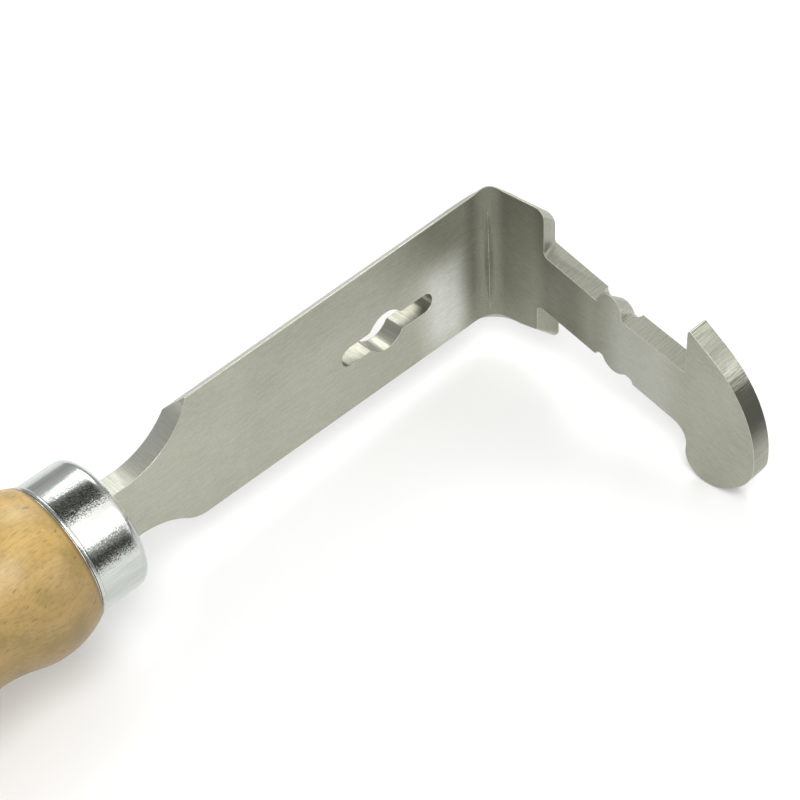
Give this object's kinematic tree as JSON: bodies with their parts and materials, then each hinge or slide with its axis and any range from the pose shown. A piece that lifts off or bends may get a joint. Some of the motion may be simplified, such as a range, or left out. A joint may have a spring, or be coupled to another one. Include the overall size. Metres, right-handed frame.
{
  "type": "hive tool",
  "caption": "Bent steel hive tool: bevelled scraper blade with a keyhole slot, flange, toothed arm and hook, on a turned wooden handle with a polished ferrule.",
  "frame": {"origin": "on the tool's long axis, at the front face of the ferrule, where the blade leaves the handle", "axes": "+X along the tool axis from the handle to the bend; +Z across the blade's width, towards the hook's tip; the bent arm points to -Y"},
  "size_m": [0.2075, 0.0777, 0.039],
  "materials": {
    "steel": "satin, fine diagonal grinding marks",
    "resin": "matt",
    "chrome": "polished",
    "wood": "clear satin lacquer"
  },
  "bodies": {
    "root": {"blade": "steel", "tang_bond": "resin", "ferrule": "chrome", "handle": "wood"}
  },
  "joints": []
}
